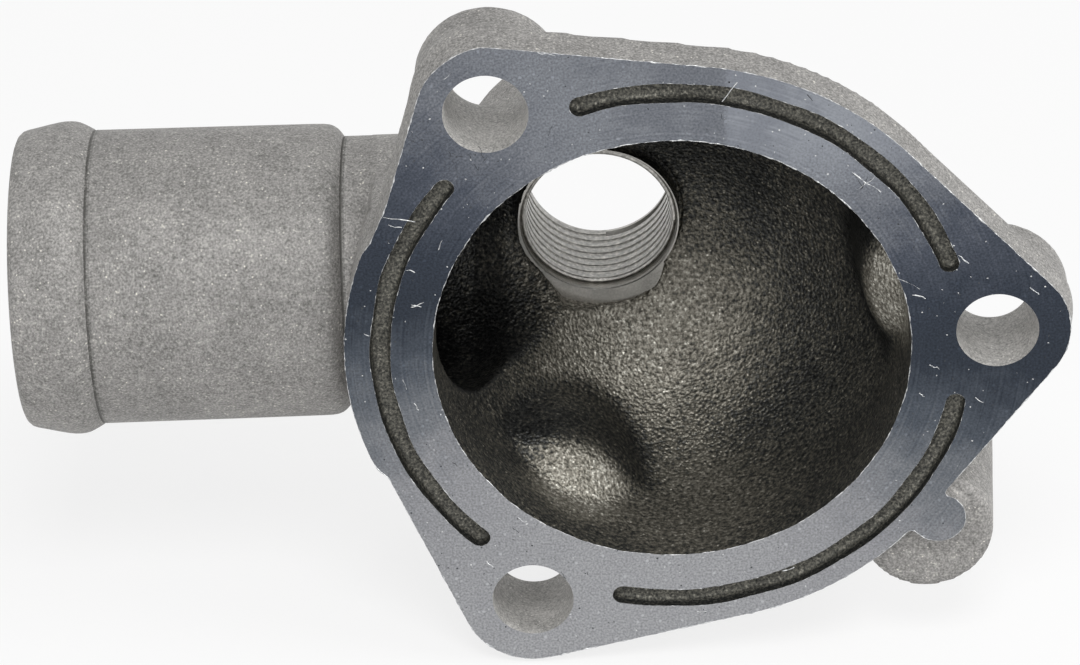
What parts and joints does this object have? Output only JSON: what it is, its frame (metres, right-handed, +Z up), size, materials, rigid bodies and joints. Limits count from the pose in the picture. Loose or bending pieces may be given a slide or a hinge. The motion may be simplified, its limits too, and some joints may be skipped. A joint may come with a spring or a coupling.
{
  "type": "thermostat housing",
  "caption": "Cast aluminium engine coolant housing with a machined bolting flange round a domed cavity, a beaded hose neck and a boss for a temperature sensor.",
  "frame": {"origin": "centre of the bore, on the machined flange face", "axes": "-Y is the flange face's outward normal, +Y runs into the dome, the hose neck leaves along -X, drooping 2.1 degrees, and +Z is up"},
  "size_m": [0.1175, 0.0444, 0.0782],
  "materials": {
    "cast_aluminium": "shot-blasted casting with a machined flange face"
  },
  "bodies": {
    "root": {"housing_casting": "cast_aluminium"}
  },
  "joints": []
}
